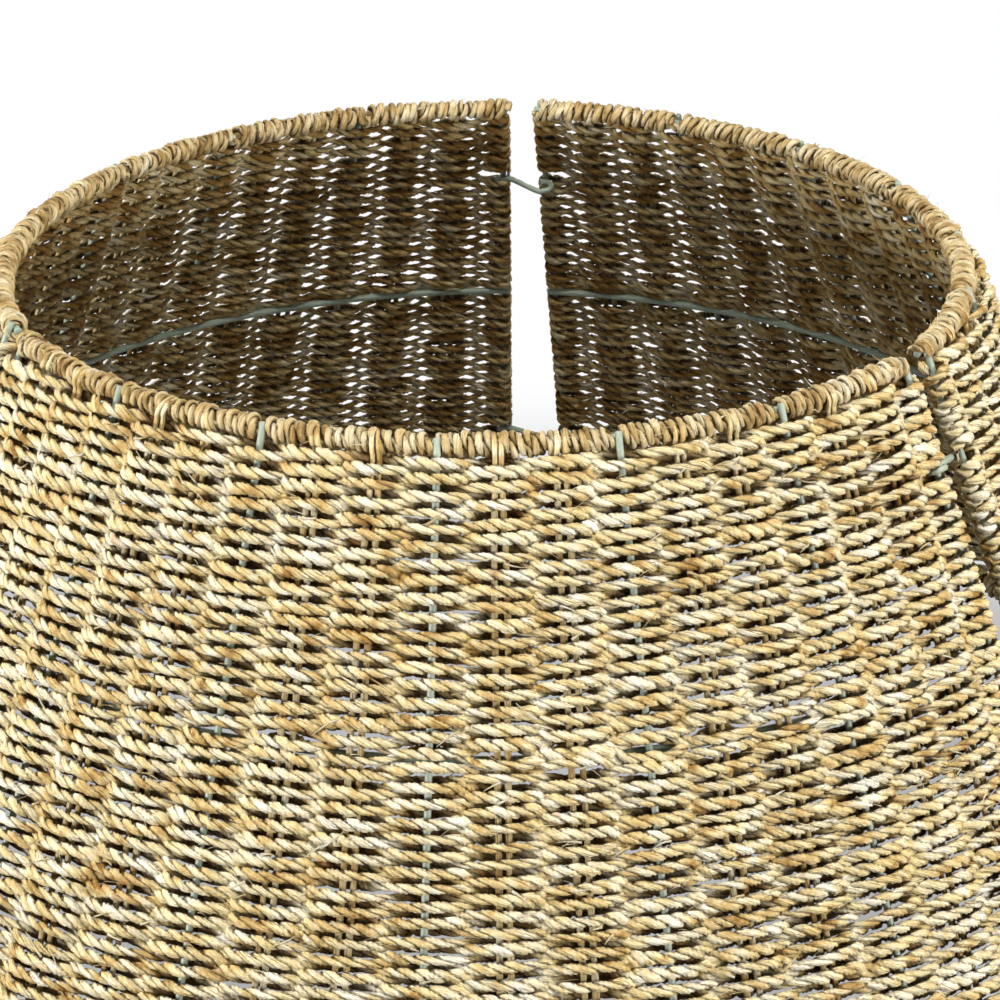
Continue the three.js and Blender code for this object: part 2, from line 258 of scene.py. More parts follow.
def painted_steel():
    """Powder-painted steel wire: an even satin grey-green coat with a faint orange-peel dimple,
    slightly darker in patches where the coat is thin."""
    material, tree, shader = new_material("powder_painted_steel")
    place = add_node(tree, "ShaderNodeTexCoord").outputs["Object"]
    patch = add_node(tree, "ShaderNodeTexNoise", {}, {
        "Vector": place, "Scale": 1 / COAT_PATCH, "Detail": 3.0, "Roughness": 0.6})
    coat = add_node(tree, "ShaderNodeValToRGB", {}, {"Fac": patch.outputs["Fac"]}, COAT_GREENS)
    tree.links.new(coat.outputs["Color"], shader.inputs["Base Color"])
    peel = add_node(tree, "ShaderNodeTexNoise", {}, {
        "Vector": place, "Scale": 1 / COAT_DIMPLE, "Detail": 2.0})
    rough = add_node(tree, "ShaderNodeMapRange", {}, {
        "Value": peel.outputs["Fac"], "To Min": 0.36, "To Max": 0.52})
    tree.links.new(rough.outputs["Result"], shader.inputs["Roughness"])
    bump = add_node(tree, "ShaderNodeBump", {}, {
        "Height": peel.outputs["Fac"], "Strength": 0.35, "Distance": COAT_RELIEF})
    tree.links.new(bump.outputs["Normal"], shader.inputs["Normal"])
    return material


steel_paint = painted_steel()


def wire_piece(name, path, lead, diameter, panel, node):
    """Round wire along a path, its first and last ring drawn in to ease the cut ends."""
    radii = np.full(len(path), diameter / 2)
    radii[[0, -1]] *= TIP_RADIUS_SHARE
    skin = sweep(path, lead, round_section(radii, WIRE_SIDES))[None]
    piece = strand_mesh(name, skin, PANEL_TURNS[panel])
    fix_to_panel(piece, panel, steel_paint, node)


def with_eased_ends(values, gap):
    """Even steps from first to last, with one more step close to each end for the eased tip."""
    low, high = values[:1], values[-1:]
    return np.concatenate([low, low + gap, values[1:-1], high - gap, high])


for panel in PANEL_TURNS:
    for hoop, z in (("rim_hoop", RIM_Z), ("mid_hoop", MID_Z), ("base_hoop", BASE_Z)):
        radius = hoop_radius(z)
        reach = HALF_ANGLE + HOOP_OVERRUN / radius
        angles = with_eased_ends(np.linspace(-reach, reach, HOOP_RINGS), TIP_LENGTH / radius)
        ring = level_point(radius, angles, z)
        wire_piece(f"{panel}_{hoop}_wire", ring, level_point(1.0, angles, 0.0), HOOP_DIAMETER,
                   panel, f"{panel}_{hoop}")
    for number in range(STAKES):
        angle = HALF_ANGLE * (2 * number / (STAKES - 1) - 1)
        heights = np.linspace(BASE_Z - STAKE_DROP, RIM_Z + STAKE_RISE, STAKE_RINGS)
        heights = with_eased_ends(heights, TIP_LENGTH)
        line = level_point(stake_radius(heights), np.full_like(heights, angle), heights)
        out = np.broadcast_to(sheet_axes(np.array(angle))[0], line.shape)
        wire_piece(f"{panel}_stake_wire_{number + 1}", line, out, STAKE_DIAMETER, panel,
                   f"{panel}_stake_{number + 1}")

# Hooks on each panel's left edge stake, one above the other, that join it to the next panel.
# The same painted wire, its shank welded inside the edge stake and its end bent half round
# the next panel's edge stake. The left panel's pair is unhooked and stands clear of that stake.
HOOK_DIAMETER = 3.4
HOOK_CLEARANCE = 0.5
OPEN_HOOK_CLEARANCE = 3.0
HOOK_LAP = 5.0
HOOK_TIP = 2.5
HOOK_BEND_POINTS = 7
HOOK_STEPS = 6
UPPER_HOOK_DROP = 48.0
LOWER_HOOK_RISE = 45.0
HOOK_HEIGHTS = {"upper": RIM_Z - UPPER_HOOK_DROP, "lower": BASE_Z + LOWER_HOOK_RISE}
UNHOOKED = STAKE_DIAMETER + HOOK_CLEARANCE + HOOK_DIAMETER + OPEN_HOOK_CLEARANCE
HOOK_INWARD = {"front": 0.0, "right": 0.0, "left": UNHOOKED}


def next_stake(z):
    """Right edge stake of the panel on the left, in this panel's own place."""
    axis_set = [0, CONE_AXIS_SET, 0]
    stake = level_point(stake_radius(z), HALF_ANGLE, z)
    return turn_level(stake + axis_set, -PANEL_TURN) - axis_set


def smooth_through(points, steps):
    """Catmull-Rom curve: between two points a cubic whose end slopes are half the neighbours'
    chord."""
    ends = np.concatenate([2 * points[:1] - points[1:2], points, 2 * points[-1:] - points[-2:-1]])
    a, b, c, d = (p[:, None] for p in (ends[:-3], ends[1:-2], ends[2:-1], ends[3:]))
    t = (np.arange(steps) / steps)[None, :, None]
    curve = 0.5 * (2 * b + (c - a) * t + (2 * a - 5 * b + 4 * c - d) * t ** 2
                   + (3 * b - a - 3 * c + d) * t ** 3)
    return np.concatenate([curve.reshape(-1, 3), points[-1:]])


def hook_route(height, inward):
    """Centre line of a hook, and the direction square to it. It lies level to the next panel's edge
    stake: along the inside of its own edge stake, across the joint, then a half circle round the
    next one and a short tip. An unhooked end is moved inward."""
    centre = next_stake(height)
    up = unit(next_stake(height + 1) - centre)
    foot = level_point(stake_radius(height), -HALF_ANGLE, height)
    rise = level_point(stake_radius(height + 1), -HALF_ANGLE, height + 1) - foot
    own = foot + rise * (np.dot(centre - foot, up) / np.dot(rise, up))
    reach = np.linalg.norm(own - centre)
    across = (own - centre) / reach
    inside = np.cross(up, across)
    curl = STAKE_DIAMETER / 2 + HOOK_CLEARANCE + HOOK_DIAMETER / 2
    lap = STAKE_DIAMETER / 2 + WELD_GAP + HOOK_DIAMETER / 2
    bend = np.radians(np.linspace(90, 270, HOOK_BEND_POINTS))
    flat = np.concatenate([
        [[reach + HOOK_LAP, lap], [reach, lap], [reach - HOOK_LAP, lap], [curl, inward + curl]],
        np.stack([curl * np.cos(bend), inward + curl * np.sin(bend)], -1),
        [[HOOK_TIP, inward - curl]]])
    route = smooth_through(centre + flat[:, :1] * across + flat[:, 1:] * inside, HOOK_STEPS)
    return route, np.broadcast_to(up, route.shape)


for panel, inward in HOOK_INWARD.items():
    for place, height in HOOK_HEIGHTS.items():
        route, up = hook_route(height, inward)
        wire_piece(f"{panel}_hook_wire_{place}", route, up, HOOK_DIAMETER, panel,
                   f"{panel}_hook_{place}")

# Weave of each panel: one long two-ply cord, carried to and fro over and under the stakes and the
# warp pairs, and turned round the edge stakes. Twisted dried seagrass, packed row on row by hand,
# so that no two rows or gaps are alike. Places along a row are counted in gaps between warps.
ROWS = 76
ROW_PITCH = 3.62
FIRST_ROW_Z = 16.0
BANDS = {"low": (0, 26), "middle": (26, 51), "top": (51, 76)}
WARP_GAPS = 18
WARP_SPACING = 31.0
PANEL_SEEDS = {"front": 11, "right": 23, "left": 37}


def wander(places, spacing, rng):
    """Smooth random wave: random heights from -1 to 1 at even spacing, joined by soft steps."""
    knots = rng.uniform(-1, 1, int(np.max(places) / spacing) + 3)
    cell = places / spacing
    first = np.floor(cell).astype(int)
    blend = cell - first
    blend = blend * blend * (3 - 2 * blend)
    return knots[first] * (1 - blend) + knots[first + 1] * blend


def wanders(rows, spacing, rng):
    """A smooth random wave of its own for each row of places."""
    return np.stack([wander(row, spacing, rng) for row in rows])


def stray(places, size_and_spacing, rng):
    """Smooth random wave of a given size and spacing."""
    size, spacing = size_and_spacing
    return size * wander(places, spacing, rng)


# Swells have a size, and a number of waves along the rows and up the panel.
ROW_SWELLS = ((0.7, 2.3, 1.6), (0.55, 4.1, 3.3), (0.4, 7.7, 5.2))
SWELL_DRIFT = 0.07
EVEN_EDGE_ROWS = 6
ROW_STRAY = 0.85
ROW_STRAY_GAPS = 1.3
TOP_ROW_STRAY_SHARE = 0.3
HOOP_PUSH = 5.5
HOOP_PUSH_NARROWING = 1.3
HOOP_DRAW = 1.9
HOOP_DRAW_FADE = 5.0
HOOK_PUSH = 3.0
HOOK_PUSH_RISE = 13.0
HOOK_PUSH_WIDTH = 15.0


def row_heights(warp, rng):
    """Height of every row at each place along it: an even pitch, a slow swell shared by
    neighbouring rows, a stray of its own, a part pushed off the mid hoop, inside, or drawn together
    over it, outside, and a part pushed off the hooks."""
    row = np.arange(ROWS)[:, None]
    even = FIRST_ROW_Z + ROW_PITCH * row + 0 * warp
    z = even
    for size, waves_along, waves_up in ROW_SWELLS:
        phase = rng.uniform(0, 2 * math.pi, 2)
        along = np.sin(2 * math.pi * waves_along * warp / WARP_GAPS + phase[0] + SWELL_DRIFT * row)
        upward = np.sin(2 * math.pi * waves_up * row / ROWS + phase[1])
        from_edge = np.minimum(row, ROWS - 1 - row)
        z = z + size * along * upward * np.clip(from_edge / EVEN_EDGE_ROWS, 0, 1)
    stray = wanders([warp] * ROWS, ROW_STRAY_GAPS, rng)
    z = z + ROW_STRAY * stray * np.clip((ROWS - 1 - row) / 2, TOP_ROW_STRAY_SHARE, 1)
    over = np.sign(even - MID_Z)
    off = np.maximum(over * (z - MID_Z), 0)
    inner = (0.5 - 0.5 * np.cos(math.pi * (warp + row))) ** HOOP_PUSH_NARROWING
    drawn = HOOP_DRAW * (1 - inner) * np.exp(-off / HOOP_DRAW_FADE)
    z = MID_Z + over * (np.hypot(off, HOOP_PUSH * inner) - drawn)
    edge = np.minimum(warp, WARP_GAPS - warp) * WARP_SPACING
    for height in HOOK_HEIGHTS.values():
        off = even - height
        push = np.exp(-np.abs(off) / HOOK_PUSH_RISE) * np.exp(-(edge / HOOK_PUSH_WIDTH) ** 2)
        z = z + HOOK_PUSH * np.sign(off) * push
    return z


# Heights and fullness of the cord are shares of its own, with the spacing of their strays in gaps.
RUN_STEPS = 17
TURN_STEPS = 4
TURN_REACH = 3.2
TURN_EASE = 0.65
FLOAT_REACH = 4.45
FLOAT_FLATNESS = 0.25
FLOAT_SLACK = 0.12
FLOAT_SLACK_GAPS = 0.9
HOOP_CLEARANCE = 3.0
LEAST_REACH_SHARE = 0.25
CORD_HEIGHT = 0.86
FLOAT_FULLNESS = 0.22
GAP_FULLNESS = (-0.04, 0.18)
ROW_FULLNESS = 0.34
ROW_FULLNESS_GAPS = 0.8
EDGE_FULLNESS = 0.2
EDGE_WIDTH = 12.0


def weave_path(loose, rng):
    """Centre line of the cord, row after row, with its lead, squeeze and height. Along a row the
    offset from the sheet follows a cosine, with a full wave to two warps and neighbouring rows half
    a wave apart. Inside, the cord keeps behind the mid hoop. At each end a quarter circle leads
    round the edge stake, half a pitch down or up, to meet the next row. The cord is pressed flat
    over the warps and is full at the edges. Between warps it is drawn in more or less, from gap to
    gap and from row to row, which leaves holes of many sizes."""
    turn = np.linspace(math.pi / 2, 0, TURN_STEPS, endpoint=False)
    run = np.linspace(0, WARP_GAPS, WARP_GAPS * RUN_STEPS + 1)
    warp = np.concatenate([0 * turn, run, 0 * turn + WARP_GAPS])
    left = np.concatenate([turn, 0 * run, 0 * turn])
    right = np.concatenate([0 * turn, 0 * run, turn[::-1]])
    ahead, aside = np.cos(left + right), np.sin(right) - np.sin(left)
    row = np.arange(ROWS)[:, None]
    side = 1 - 2 * (row % 2)
    wave = np.cos(math.pi * (warp + row))
    slack = 1 + FLOAT_SLACK * wanders([warp] * ROWS, FLOAT_SLACK_GAPS, rng)
    slack = np.where((warp == 0) | (warp == WARP_GAPS), 1, slack)
    height = row_heights(warp, rng) + ROW_PITCH / 2 * side * np.sign(aside) * (1 - ahead)
    angle = HALF_ANGLE * (2 * warp / WARP_GAPS - 1)
    out, sideways = sheet_axes(angle)[:2]
    bulge = FLOAT_REACH * slack * wave * (1 + FLOAT_FLATNESS * (1 - wave ** 2)) * ahead
    room = (np.abs(height - MID_Z) - HOOP_CLEARANCE) / HOOP_CLEARANCE
    bulge = np.where(wave < 0, bulge * np.clip(room, LEAST_REACH_SHARE, 1), bulge)
    path = level_point(stake_radius(height), angle, height)
    path = path + bulge[..., None] * out + TURN_REACH * aside[:, None] * sideways
    lead = (side * ahead)[..., None] * out + aside[:, None] * sideways
    squeeze = np.abs(wave) * (1 - TURN_EASE * np.sin(left + right))
    pulled = rng.uniform(*GAP_FULLNESS, WARP_GAPS + 1)[np.floor(warp).astype(int)] - loose
    pulled = pulled + ROW_FULLNESS * wanders([warp] * ROWS, ROW_FULLNESS_GAPS, rng)
    edge = np.minimum(warp, WARP_GAPS - warp) * WARP_SPACING
    high = CORD_HEIGHT + FLOAT_FULLNESS * squeeze ** 3 + pulled * (1 - squeeze ** 2)
    high = high + EDGE_FULLNESS * np.exp(-(edge / EDGE_WIDTH) ** 2)
    for part in (path, lead, squeeze, high):
        part[1::2] = part[1::2, ::-1]
    return [part[:, :-1].reshape(-1, *part.shape[2:]) for part in (path, lead, squeeze, high)]


# Strays of the twist and the shade have a size, and a spacing in lays or in millimetres.
TWIST_STRAYS = ((1.6, 4.0), (0.8, 1.2))
PLY_SWELL = 0.27
PLY_SWELL_LAYS = 0.7
CORD_SWELL = 0.12
CORD_SWELL_LAYS = 2.0
SHADE_STRAYS = ((1.0, 27.0), (0.6, 160.0))
STAIN_LENGTH = 9.0
STAIN_FROM = 0.93
STAIN_OVER = 0.1
# Painted shade in the crease between plies: its mean level and its swing round each ply.
GROOVE_SHADE_MEAN = 0.2
GROOVE_SHADE_SWING = 0.75
FIBRE_ROLL = 0.45


def two_ply(path, lead, sizes, lay, high, deep, rng):
    """Skins, marks and fibre roll of two plies that turn about each other once in a lay's length,
    now faster and now slower. Each is an oval set off the cord's middle, wider across than through,
    which swells and thins along. The cord's height and depth are then pressed by a share. The
    fibres roll back as the plies turn, so that they run with the cord, and the side of a ply that
    faces the other one gets painted shade in the crease. Sizes are the oval's set-off, half
    thickness and half width, and its number of sides."""
    offset, thick, wide, sides = sizes
    length = path_length(path)
    twist = 2 * math.pi * length / lay
    for size, lays in TWIST_STRAYS:
        twist = twist + size * wander(length, lays * lay, rng)
    twist = twist + math.pi * np.arange(2)[:, None]
    swell = 1 + PLY_SWELL * wanders([length] * 2, PLY_SWELL_LAYS * lay, rng)[..., None]
    high = high * (1 + CORD_SWELL * wander(length, CORD_SWELL_LAYS * lay, rng))
    around = np.arange(sides) * 2 * math.pi / sides
    away = offset + thick * swell * np.cos(around)
    beside = wide * swell * np.sin(around)
    sin, cos = np.sin(twist)[..., None], np.cos(twist)[..., None]
    section = np.stack([deep[:, None] * (away * cos - beside * sin),
                        high[:, None] * (away * sin + beside * cos)], -1)
    shades = np.stack([sum(stray(length, sizes, rng) for sizes in SHADE_STRAYS) for _ in range(2)])
    stains = np.clip((wanders([length] * 2, STAIN_LENGTH, rng) - STAIN_FROM) / STAIN_OVER, 0, 1)
    # Painted shade on the side of each ply that faces the other one.
    painted_shades = np.clip(GROOVE_SHADE_MEAN - GROOVE_SHADE_SWING * np.cos(around), 0, 1)
    marks = {"shade": shades, "stain": stains, "groove": np.broadcast_to(painted_shades, away.shape)}
    return sweep(path[None], lead[None], section), marks, FIBRE_ROLL * twist / (2 * math.pi)


def from_sheet(points):
    """Distance of points out from the stakes' cone, square to it."""
    outward = np.hypot(points[..., 0], points[..., 1]) - stake_radius(points[..., 2])
    return math.cos(LEAN) * outward


LAY = 17.5
PLY_SIZES = (1.15, 1.65, 2.1, 5)
CROSSING_THINNING = 0.45
FACING_DEPTH = 1.5
# Painted shade in the depth of the weave: none down to the first depth, rising over the second.
UNSHADED_DEPTH = 2.7
DEPTH_SHADE_SPREAD = 4.5
# Painted shade inside the collar: the tone lowered to a browner straw over a depth.
INSIDE_PAINTED_SHADE = 1.6
INSIDE_SHADE_DEPTH = 4.0


def woven_cord(loose, rng):
    """Skins, marks and fibre roll of a panel's cord. It thins where it crosses the sheet between
    two warps. What faces out of the sheet is left unshaded down to a depth, and from there on it
    carries painted shade. Towards the inside of the collar the cord is browner, as painted shade."""
    path, lead, squeeze, high = weave_path(loose, rng)
    deep = 1 - CROSSING_THINNING * (1 - squeeze ** 2)
    skins, marks, rolls = two_ply(path, lead, PLY_SIZES, LAY, high, deep, rng)
    proud = from_sheet(skins)
    facing = np.clip((proud - from_sheet(path)[:, None]) / FACING_DEPTH, -1, 1)
    # Painted shade on what lies deep in the sheet, where shade falls between the rows.
    depth_shade = (UNSHADED_DEPTH - proud * facing) / DEPTH_SHADE_SPREAD
    marks["groove"] = np.clip(np.maximum(marks["groove"], depth_shade), 0, 1)
    # Painted shade: the inner side of the cord is brought down the tone ramp to a browner straw.
    inside_shade = INSIDE_PAINTED_SHADE * np.clip(-proud / INSIDE_SHADE_DEPTH, 0, 1)
    marks["shade"] = marks["shade"][..., None] - inside_shade
    return skins, marks, rolls


# Blades are about 0.8 mm wide on a strand 12 mm round, and stay in sight for some 40 mm.
STRAND_GIRTH = 12 * MM
BLADE_WIDTH = 0.8 * MM
BLADE_LENGTH = 40 * MM
RIDGES_ROUND = 34.0
RIDGE_LENGTH = 12 * MM
BLOTCH = 14 * MM
BLADE_RELIEF = 1 * MM
BLADE_GAPS = ((0.29, "#6C4A20"), (0.37, "#E9DDBE"), (0.46, "#FFFFFF"), (0.49, "#A07C44"),
              (0.52, "#FFFFFF"))
# Dark brown of the painted shade, in creases and in the depth of the weave.
PAINTED_SHADE_BROWN = "#40290A"
STAIN_BROWN = "#AE7A45"
WEAVE_STRAW = ((0.22, "#A67E3E"), (0.34, "#DBBD7E"), (0.46, "#EEDBA5"), (0.58, "#F8EDCA"),
               (0.72, "#FDFAE8"))
WEAVE_LINES = 0.88


def seagrass(name, straws, line_depth):
    """Dried seagrass: flat blades twisted into strands, with long fine ridges, straw to cream with
    tan lengths, and a dull waxy skin. Painted shade makes it browner in the creases between plies
    and turns, in the depth of the weave and inside the collar. Fibre lines run along the strand's
    UV map."""
    material, tree, shader = new_material(name)
    flow = add_node(tree, "ShaderNodeUVMap", {"uv_map": "strand"}).outputs["UV"]
    place = add_node(tree, "ShaderNodeTexCoord").outputs["Object"]
    shade = add_node(tree, "ShaderNodeAttribute", {"attribute_name": "shade"}).outputs["Fac"]
    stain = add_node(tree, "ShaderNodeAttribute", {"attribute_name": "stain"}).outputs["Fac"]
    groove = add_node(tree, "ShaderNodeAttribute", {"attribute_name": "groove"}).outputs["Fac"]
    lines_at = add_node(tree, "ShaderNodeMapping", {}, {
        "Vector": flow, "Scale": (1 / BLADE_LENGTH, STRAND_GIRTH / BLADE_WIDTH, 1.0)})
    lines = add_node(tree, "ShaderNodeTexNoise", {"noise_dimensions": "2D"}, {
        "Vector": lines_at.outputs["Vector"], "Scale": 1.0, "Detail": 3.0, "Roughness": 0.62})
    fine_at = add_node(tree, "ShaderNodeMapping", {}, {
        "Vector": flow, "Scale": (1 / RIDGE_LENGTH, RIDGES_ROUND, 1.0)})
    fine = add_node(tree, "ShaderNodeTexNoise", {"noise_dimensions": "2D"}, {
        "Vector": fine_at.outputs["Vector"], "Scale": 1.0, "Detail": 2.0})
    blotch = add_node(tree, "ShaderNodeTexNoise", {}, {
        "Vector": place, "Scale": 1 / BLOTCH, "Detail": 3.0, "Roughness": 0.6})
    tone = add_node(tree, "ShaderNodeMath", {"operation": "MULTIPLY_ADD"}, {
        0: shade, 1: 0.11, 2: blotch.outputs["Fac"]})
    base = add_node(tree, "ShaderNodeValToRGB", {}, {"Fac": tone.outputs["Value"]}, straws)
    gaps = add_node(tree, "ShaderNodeValToRGB", {}, {"Fac": lines.outputs["Fac"]}, BLADE_GAPS)
    lined = add_node(tree, "ShaderNodeMix", {"data_type": "RGBA", "blend_type": "MULTIPLY"}, {
        "Factor": line_depth, 6: base.outputs["Color"], 7: gaps.outputs["Color"]})
    # Painted shade: a dark brown mixed in where the mesh marks shade.
    painted_shade_amount = add_node(tree, "ShaderNodeMapRange", {"interpolation_type": "SMOOTHSTEP"}, {
        "Value": groove, "From Min": 0.5, "From Max": 1.0, "To Max": 0.88})
    painted_shaded = add_node(tree, "ShaderNodeMix", {"data_type": "RGBA"}, {
        "Factor": painted_shade_amount.outputs["Result"], 6: lined.outputs[2], 7: colour(PAINTED_SHADE_BROWN)})
    stained = add_node(tree, "ShaderNodeMix", {"data_type": "RGBA"}, {
        "Factor": stain, 6: painted_shaded.outputs[2], 7: colour(STAIN_BROWN)})
    tree.links.new(stained.outputs[2], shader.inputs["Base Color"])
    relief = add_node(tree, "ShaderNodeMath", {"operation": "MULTIPLY_ADD"}, {
        0: fine.outputs["Fac"], 1: 0.35, 2: lines.outputs["Fac"]})
    bump = add_node(tree, "ShaderNodeBump", {}, {
        "Height": relief.outputs["Value"], "Strength": 0.8, "Distance": BLADE_RELIEF})
    tree.links.new(bump.outputs["Normal"], shader.inputs["Normal"])
    rough = add_node(tree, "ShaderNodeMapRange", {}, {
        "Value": fine.outputs["Fac"], "To Min": 0.5, "To Max": 0.72})
    tree.links.new(rough.outputs["Result"], shader.inputs["Roughness"])
    shader.inputs["Specular IOR Level"].default_value = 0.22
    return material


weave_cord = seagrass("dried_seagrass_cord", WEAVE_STRAW, WEAVE_LINES)
PANEL_LOOSENESS = {"front": -0.16, "right": -0.03, "left": 0.1}
for panel, turn in PANEL_TURNS.items():
    rng = np.random.default_rng(PANEL_SEEDS[panel])
    skins, marks, rolls = woven_cord(PANEL_LOOSENESS[panel], rng)
    per_row = skins.shape[1] // ROWS
    for band, (first, last) in BANDS.items():
        part = slice(first * per_row, last * per_row + 1)
        band_marks = {title: values[:, part] for title, values in marks.items()}
        piece = strand_mesh(f"{panel}_weave_{band}", skins[:, part], turn, band_marks,
                            rolls[:, part], last - first)
        fix_to_panel(piece, panel, weave_cord, panel + "_weave")

# Warp pairs: two seagrass strands side by side, two pairs in each gap between steel stakes.
# They stand in the weave from the base hoop to the rim, where each strand is brought out and up
# over the rim hoop, under the turns of its binding.
WARPS_PER_STAKE = WARP_GAPS // (STAKES - 1)
WARP_WIDTH = 1.6
WARP_DEPTH = 1.4
WARP_SIDES = 6
WARP_SPREAD = 2.6
WARP_CLOSING = 0.9
CLOSING_FROM = 39.0
CLOSING_OVER = 28.0
STEM_FOOT = 2.0
STEM_TOP = 10.8
STEM_RINGS = 84
STEM_BOW = 0.5
STEM_BOW_LENGTH = 30.0
STEM_LEAN = 0.7
STEM_LEAN_LENGTH = 55.0
RIM_LOOP = 7.0
RIM_LOOP_STRAY = 0.5
RIM_LOOP_RINGS = 22
RIM_LOOP_ANGLES = (-48, 232)
TIGHTENING = 2.4
TIGHTENING_FROM = -0.2
TIGHTENING_OVER = 0.9
PAIR_SLANT = 0.03
STRAND_SLANT = 0.01


def warp_paths(rng):
    """Centre lines of the warp strands: straight up the sheet at a small distance either side of
    the pair's place, then a slanting spiral about the rim hoop, which tightens from below its outer
    side into the binding. Also the angle at which each meets the rim."""
    places = np.array([i for i in range(WARP_GAPS) if i % WARPS_PER_STAKE], float)
    pair = np.repeat(places, 2)
    half = np.tile([-1.0, 1.0], len(places))[:, None]
    count = len(pair)
    rise = np.linspace(BASE_Z + STEM_FOOT, RIM_Z - STEM_TOP, STEM_RINGS)
    bow = STEM_BOW * wanders([rise] * count, STEM_BOW_LENGTH, rng)
    aslant = STEM_LEAN * wanders([rise] * count, STEM_LEAN_LENGTH, rng)
    closing = WARP_CLOSING * np.clip((rise - RIM_Z + CLOSING_FROM) / CLOSING_OVER, 0, 1)
    spread = half * (WARP_SPREAD - closing) + aslant
    angle = HALF_ANGLE * (2 * pair[:, None] / WARP_GAPS - 1) + spread / stake_radius(rise)
    stem = level_point(stake_radius(rise), angle, rise) + bow[..., None] * sheet_axes(angle)[0]
    swing = np.radians(np.linspace(*RIM_LOOP_ANGLES, RIM_LOOP_RINGS))
    slant = np.repeat(rng.uniform(-PAIR_SLANT, PAIR_SLANT, (count // 2, 1)), 2, 0)
    slant = slant + rng.uniform(-STRAND_SLANT, STRAND_SLANT, (count, 1))
    rim_angle = angle[:, -1:]
    loop = RIM_LOOP + rng.uniform(-RIM_LOOP_STRAY, RIM_LOOP_STRAY, (count, 1))
    loop = loop - TIGHTENING * np.clip((swing - TIGHTENING_FROM) / TIGHTENING_OVER, 0, 1)
    bend = level_point(hoop_radius(RIM_Z) + loop * np.cos(swing),
                       rim_angle + slant * np.linspace(0, 1, RIM_LOOP_RINGS),
                       RIM_Z + loop * np.sin(swing))
    path = np.concatenate([stem, bend], 1)
    for _ in range(2):
        path[:, 1:-1] = (path[:, :-2] + 2 * path[:, 1:-1] + path[:, 2:]) / 4
    return path, rim_angle


# Changes towards the rim start some rings below the stem's top and are spread over more.
WARP_LAY = 46.0
WARP_TWIST_STARTS = (0, 6.28)
WARP_ROCK = 0.35
WARP_SWELL = 0.14
WARP_SWELL_LENGTH = 9.0
WARP_SLIMMING = 0.25
SLIMMING_BELOW = 8
SLIMMING_RINGS = 10
RIM_BELOW = 6
RIM_RINGS = 8
# Warps are a tone darker, partly a darker fibre and partly painted shade.
WARP_SHADE = -0.7
WARP_SHADE_LENGTH = 40.0
WARP_STAIN_LENGTH = 12.0
WARP_STAIN_FROM = 0.9
# Painted shade on the warps where they lie in the weave.
WARP_PAINTED_SHADE = 0.73


def warp_pairs(rng):
    """Skins and marks of the warp strands: ovals that rock to and fro along, swell and thin, and
    are slimmer over the rim. They are a tone darker, partly a darker fibre, partly painted
    shade, and carry more painted shade in the weave as far up as the rim."""
    path, rim_angle = warp_paths(rng)
    count = len(path)
    past_stem = np.arange(path.shape[1]) - STEM_RINGS
    length = path_length(path)
    twist = 2 * math.pi * length / WARP_LAY + rng.uniform(*WARP_TWIST_STARTS, (count, 1))
    swell = 1 + WARP_SWELL * wanders(length, WARP_SWELL_LENGTH, rng)
    slimmed = np.clip((past_stem + SLIMMING_BELOW) / SLIMMING_RINGS, 0, 1)
    slim = (swell * (1 - WARP_SLIMMING * slimmed))[..., None]
    around = np.arange(WARP_SIDES) * 2 * math.pi / WARP_SIDES
    through, across = WARP_DEPTH * slim * np.cos(around), WARP_WIDTH * slim * np.sin(around)
    rock = WARP_ROCK * np.sin(twist)[..., None]
    section = np.stack([through - across * rock, through * rock + across], -1)
    at_rim = np.clip((past_stem + RIM_BELOW) / RIM_RINGS, 0, 1)[:, None]
    outward = level_point(1.0, rim_angle, 0.0)
    about = unit(path - level_point(hoop_radius(RIM_Z), rim_angle, RIM_Z))
    lead = outward * (1 - at_rim) + about * at_rim
    shades = wanders(length, WARP_SHADE_LENGTH, rng) + WARP_SHADE
    stains = (wanders(length, WARP_STAIN_LENGTH, rng) - WARP_STAIN_FROM) / STAIN_OVER
    # Painted shade below the rim, none on the loops over it.
    painted_shades = WARP_PAINTED_SHADE * (1 - at_rim[:, 0]) + 0 * length
    marks = {"shade": shades, "stain": np.clip(stains, 0, 1), "groove": painted_shades}
    return sweep(path, lead, section), marks


for panel, turn in PANEL_TURNS.items():
    rng = np.random.default_rng(PANEL_SEEDS[panel] + 100)
    skins, marks = warp_pairs(rng)
    piece = strand_mesh(f"{panel}_warp_pairs", skins, turn, marks)
    fix_to_panel(piece, panel, weave_cord, panel + "_weave")

# Rim and base bindings: a two-ply seagrass strand wound close round the rim hoop and the base hoop,
# over warp ends laid along them. Wound by hand after the weaving, it passes each steel stake on the
# inside, so that the stakes' ends stay bare, and its end turns go over the edge stakes.
BINDINGS = {"rim": (RIM_Z, 14), "base": (BASE_Z, 20)}
BINDING_SIZES = (1.4, 1.6, 2.0, 6)
BINDING_LAY = 22.0
BINDING_DEPTH_SHARE = 0.85
WIND_RADIUS = 4.0
TURN_RINGS = 18
END_TURNS = 1
BINDING_OVERRUN = 3.6
EDGE_STAKE_ROOM = 1.3
EDGE_STAKE_TURNS = 0.3
STAKE_SKIP = 2.4
STAKE_SKIP_NARROWING = 15
TURN_LEAN = 1.5
PROUD_TURN = 2.0
PROUD_SPACING = 3.1
PROUD_FROM = 0.72
# Strays of the turns have a size, and a spacing in turns.
PLACE_STRAY = (0.7, 0.8)
SWING_STRAY = (0.3, 1.7)
LEAN_STRAY = (0.9, 1.3)
FULLNESS_STRAY = (0.75, 0.9)
# Painted shade on the sides of a turn that touch the next turn, set by how far aside they lie.
BESIDE_FROM = 1.5
BESIDE_OVER = 1.4
FLOOR_CLEARANCE = 0.1


